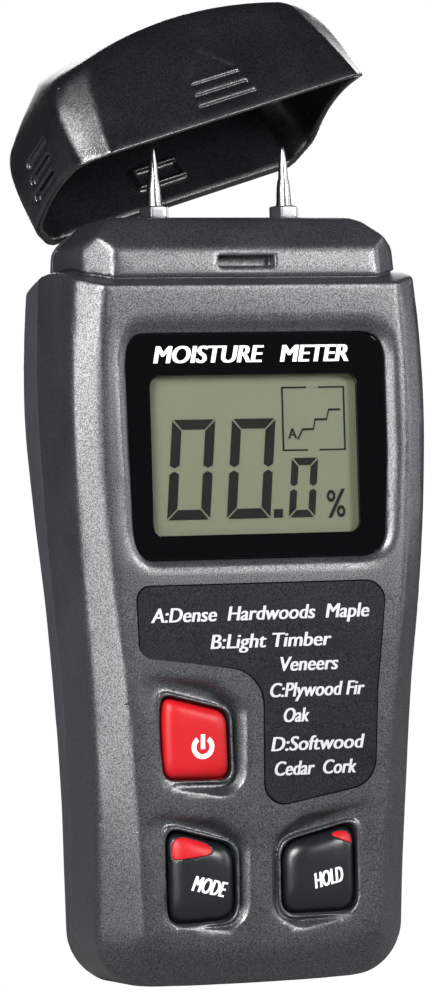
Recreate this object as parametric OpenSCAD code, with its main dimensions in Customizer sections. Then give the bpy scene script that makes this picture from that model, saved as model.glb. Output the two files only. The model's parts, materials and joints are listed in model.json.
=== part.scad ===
// Pin-type moisture meter, standing upright on its flat base.
// +Z is up, the front faces -Y, and the origin is on the base under the two measuring pins.
// The cap is drawn off the meter, tilted behind the pins, as it stands when it has just been lifted off.

/* [Body] */
// Height of the body at the front, up to the seam with the cap
body_h = 108.2; // [107.8:0.1:108.6]
// Greatest width of the body
body_w = 59; // [58.6:0.2:59.4]
// Depth of the body, from the front face to the back face
body_d = 28; // [28:0.1:28.4]
// Wall thickness of the two shells
wall = 2; // [1.9:0.05:2.1]
// Radius of the seam's arch, seen from the side
seam_r = 37.5; // [37:0.5:38]

/* [Neck] */
// Height of the neck's top above the base
neck_top = 118.9; // [118.6:0.1:119]
// Half width of the neck at the seam
neck_half_w = 26; // [25.8:0.1:26]
// Height of the slope along the neck's top edges
neck_slope = 5; // [4.8:0.1:5.4]

/* [Cap] */
// Height of the cap's top above the base when it is on
cap_top = 133.2; // [133:0.1:133.6]
// Wall thickness of the cap
cap_wall = 1.2; // [1.1:0.05:1.2]
// Radius of the arched roof
roof_r = 68; // [64:1:72]
// Slope of the roof's front and back halves
roof_slope = 24.5; // [24:0.5:25]
// Angle that the cap is tilted back from the closed position
cap_open = 33.5; // [20:0.5:33.5]

/* [Display] */
// Width of the display's clear window
view_w = 33.8; // [33:0.2:34.4]
// Height of the display's clear window
view_h = 24.4; // [24:0.2:24.8]
// Depth of the cover window's surface below the front face
window_sink = 1.1; // [0.9:0.1:1.2]
// Thickness of the cover window
window_t = 0.8; // [0.7:0.05:0.8]

/* [Buttons] */
// Travel of each button
travel = 0.5; // [0.4:0.05:0.5]
// Gap all round each button
button_gap = 0.3; // [0.25:0.05:0.35]
// Height of the button tops above the front face
button_proud = 0.4; // [0.2:0.1:0.5]

/* [Pins] */
// Distance between the two measuring pins
pin_pitch = 21.6; // [21.4:0.2:22]
// Height of the pin tips above the base
pin_tip = 130.2; // [129.8:0.1:130.4]
// Radius of the threaded stud
stud_r = 1.5; // [1.4:0.05:1.5]

/* [Battery] */
// Width of the nine-volt battery
battery_w = 26.5; // [26:0.1:26.5]
// Depth of the battery
battery_d = 16.6; // [16:0.1:16.7]
// Height of the battery's case, without its terminals
battery_h = 46.4; // [46:0.1:46.4]

/* [Hidden] */
$fn = 48;

front = -body_d/2;
back = body_d/2;
chamfer_w = 4.1;          // width of the slope between the front face and the sides
seam_bulge = 0.3;         // how far the sides stand out at the parting line
thin = 0.3;               // thickness of the slices that the shells are hulled from
eps = 0.05;

// Cross-sections of the body: height, half width, front face, depth of the front slope and of the rear slope.
half_w = body_w/2 - seam_bulge;
base_corner = 8.5;        // radius of the bottom corners, seen from the front
foot_half_w = half_w - 4.2;
foot_front = front + 3.1;
function corner_section(a) = let(h = base_corner*(1 - cos(a)))
    [h, foot_half_w - base_corner*(1 - sin(a)), foot_front + 4.2 - 0.68*min(h, 6.2), 4.6, 3];
lower_sections = concat([for (a = [0, 25, 45, 65, 90]) corner_section(a)], [
    [22, half_w - 3.8, front + 2.2, 5.2, 3.1],
    [37, half_w - 3.2, front + 1.2, 4.6, 3.6],
    [54, half_w - 2, front + 0.2, 3.6, 4],
    [60, half_w - 1.4, front, 3.4, 4.2]]);
upper_sections = [
    [60, half_w - 1.4, front, 3.4, 4.2],
    [76, half_w - 0.4, front, 2.8, 2.4],
    [88, half_w, front, 2.7, 1.4],
    [100, half_w - 0.3, front, 2.7, 1],
    [body_h + 2.6, half_w - 1, front, 2.9, 1]];

// The parting surface between the two shells is a very shallow arc along the sides.
part_r = 441;
part_y = 3.6;
part_z = 65.6;
function part_at(z) = part_y + pow(z - part_z, 2)/(2*part_r);

// The seam with the cap is an arch over the sides, level across the front.
seam_peak = body_h + 2.5;

// Neck.
neck_front = front + 2;
neck_back = back - 2.6;
neck_draft = 0.6;
neck_taper = 0.7;         // how much narrower the neck's sides are at the top slope
neck_corner = 3.6;

// Display.
view_z = 81.75;
window_top = 100.4;
window_bottom = 65.7;
window_face = front + window_sink;
seat_t = 0.7;             // ledge that the cover window is glued to
seat_back = window_face + window_t + seat_t;
lcd_front = seat_back + 0.1;
lcd_t = 2.2;
board_front = -7.6;
board_t = 1.6;
board_back = board_front + board_t;

// Fasteners.
case_screw_sites = [[23.4, 97], [19.2, 14]];
case_boss_r = 2.9;
board_screw_sites = [[-16, 62.4], [16, 62.4], [-15, 103], [15, 103]];
rest_post = [0, 27.4];    // post that backs the board between the keys
shank_r = 1.2;
board_screw_tip = -10;

// Pins: a stud through an insulating block, a nut on each side, and a tag with a lead to the board.
stud_z = 105;
block_z = 110;
tag_t = 0.6;
tag_z = 107.2;
lead_r = 0.6;
lead_y = -4.2;
lead_z = 102.6;

// Battery.
battery_z = 4.6;
battery_top = battery_z + battery_h;
battery_front = board_back + 0.6;
battery_back = battery_front + battery_d;
battery_y = (battery_front + battery_back)/2;
terminal_x = 6.35;
terminal_h = 2.1;
snap_t = 3.6;
bay_half_w = battery_w/2 + 0.4;
bay_wall = 1.4;
bay_top = 58;

// Keys: the lower two sit deeper than the power key.
lower_key_face = front + 2.3 - button_proud;
marker_r = 5.4;
dome_sites = [[-10.8, 38.4], [-9.9, 17], [9.5, 17.4]];
dome_r = 2.6;
dome_h = 0.35;

// Battery door.
door_half_w = 15.4;
door_z0 = 3;
door_z1 = 56;
door_t = 1.8;
door_front = back - door_t;
rail_x = 13.5;
rail_w = 0.6;
rail_t = 0.6;

// Cap hinge stand-in: a line behind the cap's back left corner, and its direction.
hinge_at = [-23.3, 31.1, 108.2];
hinge_dir = [-0.771, -0.572, 0.279];

// Outlines on the front, as corners with a rounding radius each: [x, z, r].
window_outline = [[-21.3, window_top, 4], [21.6, window_top, 4], [21.7, 84, 30], [21.3, window_bottom, 4.4],
    [-21, window_bottom, 4.4], [-21.3, 84, 30]];
recess_outline = [[-22.8, 102.3, 5], [23.1, 102.3, 5], [23.3, 84, 30], [22.6, 64.6, 5.4],
    [-22.2, 64.6, 5.4], [-22.9, 84, 30]];
label_outline = [[-20.2, 61.8, 2.2], [20.6, 61.8, 3.2], [18.9, 45, 40], [18.5, 30.6, 4.6], [0.4, 27.2, 3.4],
    [0.3, 48.4, 6], [-19.8, 51, 2.4]];
power_outline = [[-15.9, 44.6, 1.4], [-5.9, 42.2, 1.8], [-5.7, 32.5, 2], [-15.6, 32.7, 2], [-16.4, 38, 8]];
power_dish = [[-16.9, 47.4, 1.4], [-9, 47, 6], [-2.8, 42.6, 4], [-2.8, 31, 3.6], [-7, 29.2, 4],
    [-16.9, 31, 1.6]];
mode_outline = [[-15.2, 24.4, 2], [-4.8, 21.6, 2.2], [-4.7, 10.9, 2.4], [-14.8, 10.2, 2.4]];
mode_dish = [[-16, 26.4, 1.6], [-9, 25.8, 6], [-2.2, 21.6, 4], [-2.2, 11, 3.6], [-6, 8.9, 4],
    [-15.8, 9.4, 2]];
hold_outline = [[3.6, 21.6, 2.2], [15.1, 24.2, 2.2], [15.2, 11.2, 2.4], [3.9, 11.2, 2.4]];
hold_dish = [[1.6, 21.6, 4], [8.6, 25.8, 6], [16.2, 26.2, 1.6], [16, 9.6, 2], [6, 8.9, 4], [1.8, 11.6, 3.6]];

// Points of an outline with its corners rounded.
function unit(v) = v/norm(v);
function corner_arc(p, q, s, r) =
    let(a = unit([p[0] - q[0], p[1] - q[1]]),
        b = unit([s[0] - q[0], s[1] - q[1]]),
        half = acos(a*b)/2,
        mid = unit(a + b),
        c = [q[0], q[1]] + mid*(r/sin(half)),
        n = 6,
        from = c + unit([q[0], q[1]] + a*(r/tan(half)) - c)*r - c,
        to = c + unit([q[0], q[1]] + b*(r/tan(half)) - c)*r - c)
    [for (i = [0:n]) c + r*unit(from*(1 - i/n) + to*(i/n))];
function rounded(list) = let(n = len(list))
    [for (i = [0:n - 1]) each corner_arc(list[(i + n - 1)%n], list[i], list[(i + 1)%n], list[i][2])];
function grown(list, d) = let(n = len(list), cx = [for (p = list) p[0]], cz = [for (p = list) p[1]],
    mx = (max(cx) + min(cx))/2, mz = (max(cz) + min(cz))/2)
    [for (p = list) [p[0] + d*sign(p[0] - mx), p[1] + d*sign(p[1] - mz), max(p[2] + d/2, 0.4)]];

// A plate with an x-z outline, from depth y0 to depth y1.
module plate(list, y0, y1) {
    translate([0, y1, 0]) rotate([90, 0, 0]) linear_extrude(y1 - y0) polygon(rounded(list));
}
module block(x0, x1, y0, y1, z0, z1) {
    translate([x0, y0, z0]) cube([x1 - x0, y1 - y0, z1 - z0]);
}
// A cylinder along Y.
module rod_y(x, z, r, y0, y1) {
    translate([x, y1, z]) rotate([90, 0, 0]) cylinder(r=r, h=y1 - y0);
}
module mirrored() {
    children();
    mirror([1, 0, 0]) children();
}

// One thin slice of the body, drawn in by inset.
module body_slice(s, inset) {
    w = s[1] - inset;
    f = s[2] + inset;
    b = back - inset;
    y_part = part_at(s[0]);
    z = max(s[0], inset);
    right = [[w - chamfer_w, f], [w, f + s[3]], [w + seam_bulge, y_part], [w, b - s[4]], [w - 0.8*s[4], b]];
    left = [for (i = [4:-1:0]) [-right[i][0], right[i][1]]];
    translate([0, 0, z]) linear_extrude(thin) polygon(concat(right, left));
}
module body_blank(inset) {
    for (sections = [lower_sections, upper_sections])
        hull() for (s = sections) body_slice(s, inset);
}
module neck_blank(inset) {
    w = neck_half_w - inset;
    top = neck_top - inset;
    hull() {
        neck_slice(body_h - 4, w, neck_front + inset, neck_back - inset, neck_corner);
        neck_slice(neck_top - neck_slope, w - neck_taper, neck_front + neck_draft + inset,
            neck_back - 0.2 - inset, neck_corner);
        neck_slice(top - thin, w - 6.6, neck_front + neck_draft + neck_slope,
            neck_back - 0.2 - neck_slope, neck_corner - 1);
    }
}
module neck_slice(z, w, f, b, c) {
    right = [[w - c, f], [w, f + c], [w, b - c], [w - c, b]];
    translate([0, 0, z]) linear_extrude(thin)
        polygon(concat(right, [for (i = [3:-1:0]) [-right[i][0], right[i][1]]]));
}
// A side view extruded across the whole width, and two such cuts: all that lies under the arched seam,
// and all that lies behind the parting surface.
module side_profile(points) {
    rotate([90, 0, 90]) translate([0, 0, -40]) linear_extrude(80) polygon(points);
}
module below_seam(gap) {
    r = seam_r - gap;
    arch = [for (y = [-20:2.5:20]) [y, seam_peak - seam_r + sqrt(r*r - y*y)]];
    side_profile(concat([[-20, -1]], arch, [[20, -1]]));
}
module behind_parting() {
    side_profile(concat([[40, -5]], [for (z = [-5:15:145]) [part_at(z), z]], [[40, 145]]));
}
module shell_walls() {
    intersection() {
        body_blank(0);
        below_seam(0);
    }
    neck_blank(0);
}
module shell_hollow() {
    intersection() {
        body_blank(wall);
        below_seam(wall);
    }
    neck_blank(wall);
}
module case_bosses(y0, y1) {
    mirrored() for (p = case_screw_sites) rod_y(p[0], p[1], case_boss_r, y0, y1);
}
module case_bores(r, y0, y1) {
    mirrored() for (p = case_screw_sites) rod_y(p[0], p[1], r, y0, y1);
}

module front_shell() {
    color("dimgray") difference() {
        union() {
            difference() {
                shell_walls();
                shell_hollow();
            }
            // Ledge behind the cover window
            plate(recess_outline, front + 1, seat_back);
            case_bosses(front + 4.2, 12);
            for (p = board_screw_sites) rod_y(p[0], p[1], 2.2, front + 1, board_front);
            rod_y(rest_post[0], rest_post[1], 2.2, front + 3, board_front);
        }
        behind_parting();
        plate(recess_outline, front - 1, window_face);
        plate(grown(window_outline, 0.1), front - 1, window_face + window_t);
        block(-view_w/2 - 1, view_w/2 + 1, front - 1, 0, view_z - view_h/2 - 1, view_z + view_h/2 + 1);
        // Button holes and the shallow dishes round them
        for (b = [power_outline, mode_outline, hold_outline]) plate(grown(b, button_gap), front - 1, -5);
        plate(power_dish, front - 1, front + 2.1);
        plate(mode_dish, front - 1, front + 3.6);
        plate(hold_dish, front - 1, front + 3.6);
        case_bores(shank_r, front + 8, 12);
        for (p = board_screw_sites) rod_y(p[0], p[1], 0.9, board_screw_tip - 0.4, -5);
        // Catch slot on the neck
        block(-4.6, 4.6, neck_front - 1, neck_front + 1.2, 110.8, 112.5);
        for (x = [-pin_pitch/2, pin_pitch/2]) translate([x, 0, 110]) cylinder(r=stud_r + 0.1, h=12);
    }
}

module rear_shell() {
    color("dimgray") difference() {
        union() {
            intersection() {
                difference() {
                    shell_walls();
                    shell_hollow();
                }
                behind_parting();
            }
            intersection() {
                case_bosses(0, back - 1);
                translate([0, 0.1, 0]) behind_parting();
            }
            // Battery bay
            difference() {
                block(-bay_half_w - bay_wall, bay_half_w + bay_wall, battery_front, back - 1,
                    wall, bay_top + bay_wall);
                block(-bay_half_w, bay_half_w, battery_front - 1, back, wall - 1, bay_top);
            }
        }
        // Opening that the door closes, with a groove each side for its rails
        block(-door_half_w + 1.2, door_half_w - 1.2, 9, back + 1, door_z0, door_z1 - 1);
        block(-door_half_w - 0.2, door_half_w + 0.2, door_front - 0.15, back + 1, -1, door_z1 + 0.2);
        case_bores(shank_r + 0.2, 0, 20);
        case_bores(2.7, 9, 20);
        // Way out at the bottom for the door's rails
        mirrored() block(rail_x - 0.2, rail_x + rail_w + 0.2, door_front - rail_t - 0.2, door_front, -1, 8);
    }
}

module battery_door() {
    color("dimgray") difference() {
        intersection() {
            union() {
                block(-door_half_w, door_half_w, door_front, back, 0.4, door_z1);
                // Rails inside the opening's edges
                mirrored() block(rail_x, rail_x + rail_w, door_front - rail_t, door_front + eps, 8, door_z1 - 3);
            }
            body_blank(0);
        }
        // Thumb grip
        for (i = [0:5]) block(-7, 7, back - 0.5, back + 1, 44 + 1.6*i, 44.8 + 1.6*i);
    }
}
module door_latch() {
    color("dimgray") {
        block(-4, 4, battery_back + 0.2, back - wall - 0.1, door_z1 - 3.4, door_z1 + 1.4);
        block(-4, 4, back - wall - 0.1, door_front, door_z1 - 3.4, door_z1 - 1.2);
    }
}

// The cap as it sits when it is on.
module cap_slice(z, w, inset) {
    c = 3.9;
    right = [[w - c, front + inset], [w, front + 3.4 + inset], [w, back - 4.2 - inset],
        [w - 3.6, back - inset]];
    translate([0, 0, z]) linear_extrude(thin)
        polygon(concat(right, [for (i = [3:-1:0]) [-right[i][0], right[i][1]]]));
}
module cap_blank(inset) {
    lift = inset == 0 ? 0 : 0.6;
    intersection() {
        hull() {
            cap_slice(body_h - 4, half_w - 0.9 - inset, inset);
            cap_slice(body_h + 11, half_w - 2.3 - inset, inset);
            cap_slice(body_h + 16, half_w - 4.6 - inset, inset);
            cap_slice(cap_top - inset - lift - thin, half_w - 12 - inset, inset);
        }
        for (s = [0, 1]) mirror([0, s, 0]) roof(inset + lift);
    }
}
// Under one half of the roof, which rises from the front edge to the ridge.
module roof(inset) {
    translate([0, -0.4, cap_top + 0.3 - inset])
        rotate([roof_slope, 0, 0]) translate([0, 0, -roof_r]) rotate([-90, 0, 0])
            translate([0, 0, -40]) cylinder(r=roof_r, h=80, $fn=240);
}
module cap_on() {
    difference() {
        union() {
            difference() {
                cap_blank(0);
                cap_blank(cap_wall);
            }
            // Catch on the inside of the back wall
            block(-5.3, 5.3, back - cap_wall - 0.5, back - cap_wall + eps, 113.3, 115.6);
        }
        below_seam(-0.15);
        block(-40, 40, -20, 20, 90, body_h - 3);
        // Arrow and bars pressed into the front
        translate([0, front + 0.3, 0]) rotate([90, 0, 0]) linear_extrude(2) {
            polygon([[-4.6, 115.7], [4.6, 115.7], [0, 120.2]]);
            for (i = [0:2]) translate([-4.6 - 0.45*i, 114.8 - 2*i]) square([9.2 + 0.9*i, 0.6]);
        }
        // Grip grooves on the sides
        mirrored() for (i = [0:2]) translate([half_w - 2.4, -4.4 + 0.9*i, 117.6 - 2.5*i]) cube([4, 8, 0.7]);
    }
}
module cap_shell() {
    color("black") translate(hinge_at) rotate(a=cap_open, v=hinge_dir) translate(-hinge_at) cap_on();
}

module cover_window() {
    color("darkslategray") plate(window_outline, window_face, window_face + window_t);
}
module lcd_cell() {
    color("darkseagreen") block(-19, 19, lcd_front, lcd_front + lcd_t, 67.6, 97.4);
}
module lcd_frame() {
    color("white") difference() {
        block(-20.3, 20.3, lcd_front, board_front, 66.4, 98.6);
        block(-19.2, 19.2, lcd_front - 1, board_front + 1, 67.4, 97.6);
    }
}
module zebra_strips() {
    color("pink") for (z = [68.4, 94.4])
        block(-17, 17, lcd_front + lcd_t, board_front, z, z + 2.2);
}
module front_label() {
    // The sheet follows the front face, which falls back in its lower part
    color("black") intersection() {
        plate(label_outline, front - 1, front + 4);
        difference() {
            body_blank(-0.1);
            body_blank(0);
        }
    }
}

module main_board() {
    color("darkgreen") difference() {
        block(-18.6, 18.6, board_front, board_back, 9, 105.4);
        for (p = board_screw_sites) rod_y(p[0], p[1], 1.2, board_front - 1, board_back + 1);
        case_bores(case_boss_r + 0.3, board_front - 1, board_back + 1);
    }
}
module controller_chip() {
    color("black") block(-6, 6, board_back, board_back + 1.6, 76, 88);
}
module board_components() {
    color("tan") {
        for (x = [-12, -8, 10, 14], z = [74, 92]) block(x, x + 1.6, board_back, board_back + 0.8, z, z + 0.9);
        block(-11, -6, board_back, board_back + 1.4, 62, 66);
        block(4, 12, board_back, board_back + 3.4, 96, 99.6);
    }
}
module buzzer() {
    color("black") rod_y(9.4, 67.2, 4.4, board_back, board_back + 4.6);
}
module dome_switches() {
    color("silver") for (p = dome_sites) rod_y(p[0], p[1], dome_r, board_front - dome_h, board_front);
}
module dome_sheet() {
    color("gainsboro") difference() {
        block(-17.6, 17.6, board_front - 0.25, board_front, 10.4, 47);
        for (p = dome_sites) rod_y(p[0], p[1], dome_r + 0.3, board_front - 1, board_front + 1);
        rod_y(rest_post[0], rest_post[1], 2.6, board_front - 1, board_front + 1);
        case_bores(case_boss_r + 0.3, board_front - 1, board_front + 1);
    }
}

// A key: its cap through the shell, a flange that keeps it in, and a stem down to its dome.
module key(list, site, face, flange) {
    plate(list, face, flange + eps);
    plate(grown(list, 0.9), flange, flange + 0.5);
    rod_y(site[0], site[1], 1.6, flange, board_front - 0.5 - travel - 0.1);
}
module power_button() {
    color("red") key(power_outline, dome_sites[0], front + 1 - button_proud, -10.4);
}
module mode_button() {
    color("black") difference() {
        key(mode_outline, dome_sites[1], lower_key_face, -9);
        marker(-1, 1);
    }
}
module hold_button() {
    color("black") difference() {
        key(hold_outline, dome_sites[2], lower_key_face, -9);
        marker(1, 1);
    }
}
// The red corner inlay of the lower buttons, and the cut for it, which stands d further out.
// side is -1 on the left button and 1 on the right one.
module marker(side, d) {
    intersection() {
        translate([side*15.2, lower_key_face - d, 24]) rotate([-90, 0, 0]) cylinder(r=marker_r, h=0.6 + d);
        block(-40, 40, -20, 0, 19.6, 30);
    }
}
module mode_marker() {
    color("red") intersection() {
        marker(-1, 0);
        plate(mode_outline, -20, 0);
    }
}
module hold_marker() {
    color("red") intersection() {
        marker(1, 0);
        plate(hold_outline, -20, 0);
    }
}

module pin_body() {
    rotate_extrude() polygon([[0, stud_z], [stud_r, stud_z], [stud_r, neck_top + 1.4], [0.93, neck_top + 2.4],
        [0.86, 124.8], [0.7, 125.6], [0.66, 126.6], [0, pin_tip]]);
}
module left_pin() {
    color("silver") translate([-pin_pitch/2, 0, 0]) pin_body();
}
module right_pin() {
    color("silver") translate([pin_pitch/2, 0, 0]) pin_body();
}
module hex_nut(r, z0, z1) {
    difference() {
        translate([0, 0, z0]) cylinder(r=r, h=z1 - z0, $fn=6);
        translate([0, 0, z0 - 1]) cylinder(r=stud_r + 0.05, h=z1 - z0 + 2);
    }
}
module pair(spread) {
    for (x = [-spread/2, spread/2]) translate([x, 0, 0]) children();
}
module pin_nuts() {
    color("silver") pair(pin_pitch) hex_nut(2.4, neck_top, neck_top + 2);
}
module pin_block() {
    color("ivory") difference() {
        block(-15.4, 15.4, -4, 4, block_z, neck_top - wall);
        pair(pin_pitch) translate([0, 0, 100]) cylinder(r=stud_r + 0.05, h=20);
    }
}
module block_nuts() {
    color("silver") pair(pin_pitch) hex_nut(2.9, tag_z + tag_t, block_z);
}
module ring_terminals() {
    color("goldenrod") pair(pin_pitch) difference() {
        union() {
            translate([0, 0, tag_z]) cylinder(r=2.8, h=tag_t);
            block(-1, 1, -5, -2, tag_z, tag_z + tag_t);
        }
        translate([0, 0, tag_z - 1]) cylinder(r=stud_r + 0.05, h=3);
    }
}
module lead() {
    translate([0, lead_y, lead_z]) {
        cylinder(r=lead_r, h=tag_z - lead_z);
        sphere(r=lead_r);
        rotate([90, 0, 0]) cylinder(r=lead_r, h=lead_y - board_back);
    }
}
module left_lead() {
    color("red") translate([-pin_pitch/2, 0, 0]) lead();
}
module right_lead() {
    color("black") translate([pin_pitch/2, 0, 0]) lead();
}

module battery() {
    color("steelblue") block(-battery_w/2, battery_w/2, battery_front, battery_back,
        battery_z, battery_z + battery_h);
}
module battery_terminals() {
    color("silver") {
        translate([-terminal_x, battery_y, battery_top]) cylinder(r=2.9, h=terminal_h);
        translate([terminal_x, battery_y, battery_top]) cylinder(r=3.6, h=terminal_h);
    }
}
module battery_snap() {
    color("black") difference() {
        block(-12.6, 12.6, battery_y - 6.2, battery_y + 6.2, battery_top + 0.1, battery_top + snap_t);
        translate([-terminal_x, battery_y, battery_top - 1]) cylinder(r=3, h=terminal_h + 1.1);
        translate([terminal_x, battery_y, battery_top - 1]) cylinder(r=3.7, h=terminal_h + 1.1);
    }
}
module snap_leads() {
    color("red") for (x = [-4, 4]) translate([x, battery_y, battery_top + snap_t]) cylinder(r=lead_r, h=1.8);
}
module foam_pad() {
    color("dimgray") block(-9, 9, battery_front + 2, battery_back - 4, wall, battery_z);
}
module insulation_sheet() {
    color("ivory") block(-15.8, 15.8, board_back + 0.1, board_back + 0.4, 10, 58);
}

module screw(x, z, head_y, tip_y, r, head_r, drive_r) {
    difference() {
        union() {
            rod_y(x, z, r, tip_y, head_y);
            rod_y(x, z, head_r, head_y, head_y + 1.6);
        }
        for (a = [0, 90]) translate([x, head_y + 1.3, z]) rotate([0, a, 0])
            cube([2*drive_r, 1.2, 0.5], center=true);
    }
}
module case_screws() {
    color("dimgray") mirrored() for (p = case_screw_sites) screw(p[0], p[1], 9, -4, 1.15, 2.4, 1.7);
}
module board_screws() {
    color("silver") for (p = board_screw_sites)
        screw(p[0], p[1], board_back, board_screw_tip, 0.85, 1.9, 1.3);
}

front_shell();
rear_shell();
cap_shell();
battery_door();
cover_window();
lcd_cell();
lcd_frame();
zebra_strips();
front_label();
main_board();
controller_chip();
board_components();
buzzer();
dome_switches();
dome_sheet();
power_button();
mode_button();
hold_button();
mode_marker();
hold_marker();
left_pin();
right_pin();
pin_nuts();
pin_block();
block_nuts();
ring_terminals();
left_lead();
right_lead();
battery();
battery_terminals();
battery_snap();
snap_leads();
foam_pad();
insulation_sheet();
case_screws();
board_screws();
door_latch();
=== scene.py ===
"""Looks of the moisture meter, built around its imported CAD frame.

Shapes are worked out in millimetres and handed to Blender in metres."""
import json
import math

import bmesh
import bpy
import numpy as np
import openvdb
from mathutils import Matrix, Vector


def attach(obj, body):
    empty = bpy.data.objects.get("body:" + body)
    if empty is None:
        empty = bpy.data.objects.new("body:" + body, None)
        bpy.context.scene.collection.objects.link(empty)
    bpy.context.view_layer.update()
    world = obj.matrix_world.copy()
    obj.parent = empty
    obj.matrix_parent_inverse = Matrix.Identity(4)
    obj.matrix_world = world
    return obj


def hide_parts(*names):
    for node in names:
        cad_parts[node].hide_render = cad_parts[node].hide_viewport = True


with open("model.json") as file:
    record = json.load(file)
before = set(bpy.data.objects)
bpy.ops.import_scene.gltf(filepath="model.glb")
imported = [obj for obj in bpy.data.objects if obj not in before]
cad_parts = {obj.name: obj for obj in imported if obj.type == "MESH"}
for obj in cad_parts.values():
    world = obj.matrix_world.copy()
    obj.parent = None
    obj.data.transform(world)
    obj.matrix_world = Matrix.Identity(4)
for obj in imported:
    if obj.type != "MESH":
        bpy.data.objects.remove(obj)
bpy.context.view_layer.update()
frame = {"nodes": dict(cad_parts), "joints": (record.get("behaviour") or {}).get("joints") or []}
nodes = frame["nodes"]
joints = {j["name"]: j for j in frame["joints"]}
MM = 0.001

# Driving dimensions, in millimetres. The first few are the CAD source's.
FRONT, BACK = -14.0, 14.0
SHELL_WALL = 2.0
CAP_WALL = 1.2
SEAM_R = 37.5
SEAM_PEAK = 110.7
PART_Y, PART_Z, PART_R = 3.6, 65.6, 441.0
BASE_CORNER = 8.5
NECK_TOP = 118.9
NECK_HALF = 26.0
NECK_SLOPE = 5.0
CAP_TOP = 133.2
ROOF_R = 68.0
ROOF_SLOPE = math.radians(24.5)
PIN_X = 10.8
WINDOW_SINK = 1.1
SOFT_RIDGE = 0.5
CASE_SCREWS = ((23.4, 97), (19.2, 14))
WELL_R, BOSS_R, SCREW_BORE = 2.6, 2.9, 1.5
DOOR_HALF, DOOR_TOP = 15.6, 56.2
SCOOP_Z = 47
BELOW_BASE = -8
THROUGH = (-20, -5)
WHITE_TO_CAMERA = 1.02


# ---------------------------------------------------------------- distance fields

class Grid:
    """A block of sample points, in millimetres. x, y and z broadcast against each other."""

    def __init__(self, low, high, step):
        self.step = step
        self.low = np.array(low, float)
        count = np.ceil((np.array(high, float) - self.low) / step).astype(int) + 1
        x, y, z = (self.low[i] + step * np.arange(count[i]) for i in range(3))
        self.shape = tuple(count)
        self.x = x.astype(np.float32)[:, None, None]
        self.y = y.astype(np.float32)[None, :, None]
        self.z = z.astype(np.float32)[None, None, :]


def smax(a, b, r):
    """The larger of two fields, with the edge between them rounded over about r."""
    h = np.maximum(r - np.abs(a - b), 0) / r
    return np.maximum(a, b) + 0.25 * r * h * h


def smin(a, b, r):
    return -smax(-a, -b, r)


def cut(a, b, r=0.3):
    """Field a with b taken away."""
    return smax(a, -b, r)


def plane2(u, v, p, q):
    """Distance right of the line from p to q, in two coordinates; p and q may vary along the grid."""
    du, dv = q[0] - p[0], q[1] - p[1]
    return (dv * (u - p[0]) - du * (v - p[1])) / np.sqrt(du * du + dv * dv)


def outline(u, v, corners, r):
    """Distance to a convex outline given clockwise as seen with v up, its corners rounded by r."""
    ways = [Vector(q) - Vector(p) for p, q in zip(corners, corners[1:] + corners[:1])]
    turns = [1.17 * r * min(1, 1.2 * (1 - a.normalized() @ b.normalized()))
             for a, b in zip(ways[-1:] + ways, ways)]
    d = plane2(u, v, corners[1], corners[0])
    for i in range(1, len(corners)):
        turn = turns[i] if i < len(corners) - 1 else max(turns[i], turns[0])
        d = smax(d, plane2(u, v, corners[(i + 1) % len(corners)], corners[i]), turn + 0.01)
    return d


def slab(v, low, high):
    return np.maximum(low - v, v - high)


def brick(g, x0, x1, y0, y1, z0, z1):
    return np.maximum(np.maximum(slab(g.x, x0, x1), slab(g.y, y0, y1)), slab(g.z, z0, z1))


def eased(v, knots, values):
    """A smooth curve through a few values: cubic pieces with averaged slopes."""
    k, w = np.array(knots, float), np.array(values, float)
    slope = np.gradient(w, k)
    v = np.clip(v, k[0], k[-1])
    i = np.clip(np.searchsorted(k, v, side="right") - 1, 0, len(k) - 2)
    h = k[i + 1] - k[i]
    t = (v - k[i]) / h
    t2, t3 = t * t, t * t * t
    return ((2 * t3 - 3 * t2 + 1) * w[i] + (t3 - 2 * t2 + t) * h * slope[i]
            + (3 * t2 - 2 * t3) * w[i + 1] + (t3 - t2) * h * slope[i + 1]).astype(np.float32)


# ---------------------------------------------------------------- meshes

def mesh_object(name, points, quads, triangles=()):
    """A mesh from arrays of points in millimetres and faces."""
    mesh = bpy.data.meshes.new(name)
    quads, triangles = np.array(quads, np.int32).reshape(-1, 4), np.array(triangles, np.int32).reshape(-1, 3)
    mesh.vertices.add(len(points))
    mesh.vertices.foreach_set("co", (np.array(points, np.float32) * MM).ravel())
    mesh.loops.add(quads.size + triangles.size)
    mesh.loops.foreach_set("vertex_index", np.concatenate([quads.ravel(), triangles.ravel()]))
    mesh.polygons.add(len(quads) + len(triangles))
    starts = np.concatenate([4 * np.arange(len(quads)), quads.size + 3 * np.arange(len(triangles))])
    mesh.polygons.foreach_set("loop_start", starts.astype(np.int32))
    mesh.update(calc_edges=True)
    mesh.validate()
    mesh.shade_smooth()
    obj = bpy.data.objects.new(name, mesh)
    bpy.context.scene.collection.objects.link(obj)
    return obj


def surface(name, g, field, adaptivity=0.03):
    """The skin of a distance field, as a closed mesh."""
    reach = 3 * g.step
    full = np.broadcast_to(field, g.shape)
    grid = openvdb.FloatGrid(reach)
    grid.copyFromArray(np.clip(full, -reach, reach).astype(np.float32))
    points, triangles, quads = grid.convertToPolygons(0.0, adaptivity)
    points = points * g.step + g.low
    obj = mesh_object(name, points, quads[:, ::-1], triangles[:, ::-1])
    face_outward(obj)
    return obj


def face_outward(obj):
    bm = bmesh.new()
    bm.from_mesh(obj.data)
    if bm.calc_volume(signed=True) < 0:
        bmesh.ops.reverse_faces(bm, faces=bm.faces)
    bm.to_mesh(obj.data)
    bm.free()


# ---------------------------------------------------------------- the body

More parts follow.
